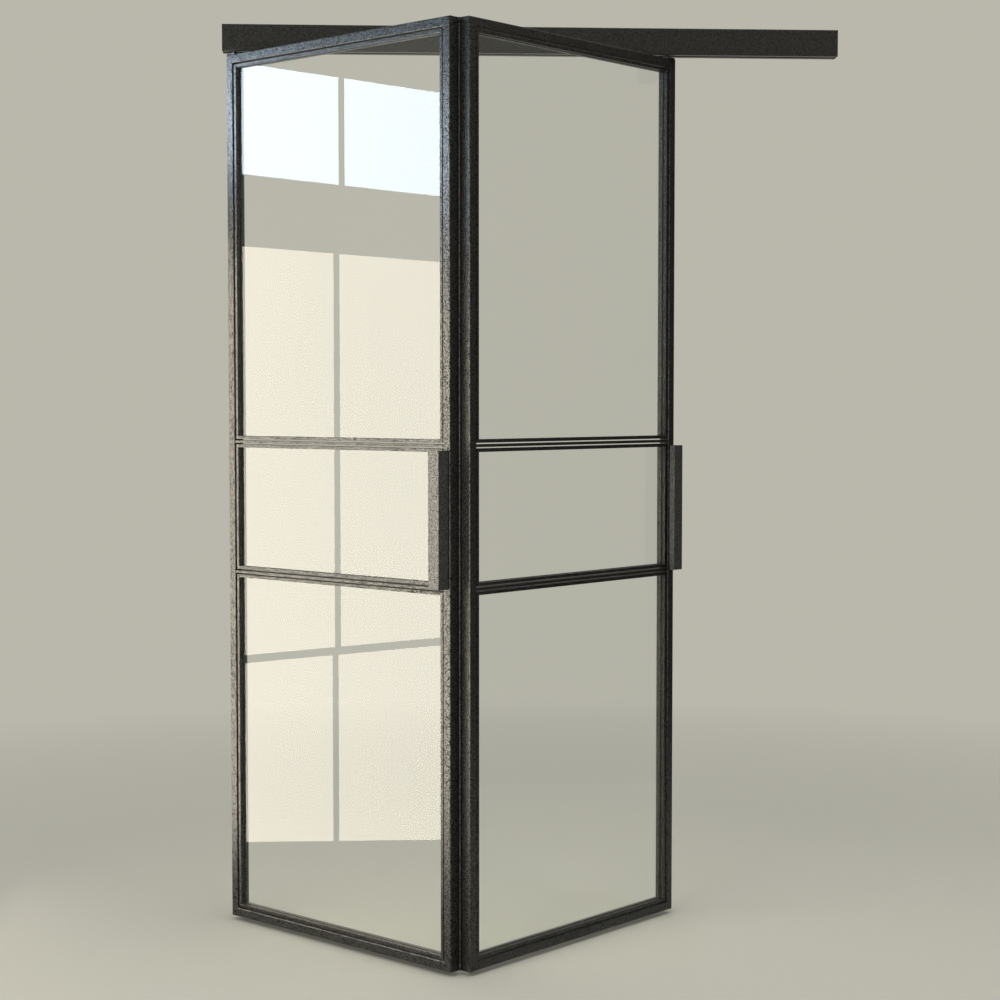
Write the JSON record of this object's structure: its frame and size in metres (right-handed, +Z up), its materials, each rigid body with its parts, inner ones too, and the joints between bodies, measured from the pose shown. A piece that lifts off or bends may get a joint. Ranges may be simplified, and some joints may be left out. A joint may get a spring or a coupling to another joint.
{
  "type": "steel bifold door",
  "caption": "Top-hung folding door of two glazed steel leaves, part folded under its box track, with pull handles.",
  "frame": {"origin": "middle of the flat back face of the track, where it lies against the wall", "axes": "+X to the right along the track, +Y into the wall, +Z up; the leaves hang down and fold out towards -Y"},
  "size_m": [1.424, 0.5376, 2.068],
  "materials": {
    "frame_paint": "fine textured black powder coat, satin",
    "glass": "clear toughened glass",
    "hardware_steel": "black zinc plated steel",
    "wheel_nylon": "black nylon",
    "spacer_rubber": "matt black rubber"
  },
  "bodies": {
    "root": {"left_fold_stile": "frame_paint", "left_outer_stile": "frame_paint", "left_top_rail": "frame_paint", "left_bottom_rail": "frame_paint", "left_upper_bar": "frame_paint", "left_lower_bar": "frame_paint", "left_back_beads": "frame_paint", "left_front_beads": "frame_paint", "left_handle": "frame_paint", "left_bottom_pane": "glass", "left_middle_pane": "glass", "left_top_pane": "glass", "left_pane_spacers": "spacer_rubber", "right_fold_stile": "frame_paint", "right_outer_stile": "frame_paint", "right_top_rail": "frame_paint", "right_bottom_rail": "frame_paint", "right_upper_bar": "frame_paint", "right_lower_bar": "frame_paint", "right_back_beads": "frame_paint", "right_front_beads": "frame_paint", "right_handle": "frame_paint", "right_bottom_pane": "glass", "right_middle_pane": "glass", "right_top_pane": "glass", "right_pane_spacers": "spacer_rubber", "track_channel": "frame_paint", "track_left_cap": "frame_paint", "track_right_cap": "frame_paint", "hinge_left_strip": "frame_paint", "hinge_right_strip": "frame_paint", "pivot_plate": "frame_paint", "hanger_plate": "frame_paint", "hinge_pin": "hardware_steel", "pivot_bracket": "hardware_steel", "pivot_pin": "hardware_steel", "carriage_body": "hardware_steel", "carriage_axles": "hardware_steel", "hanger_stud": "hardware_steel", "hanger_nut": "hardware_steel", "carriage_wheels": "wheel_nylon"}
  },
  "joints": []
}
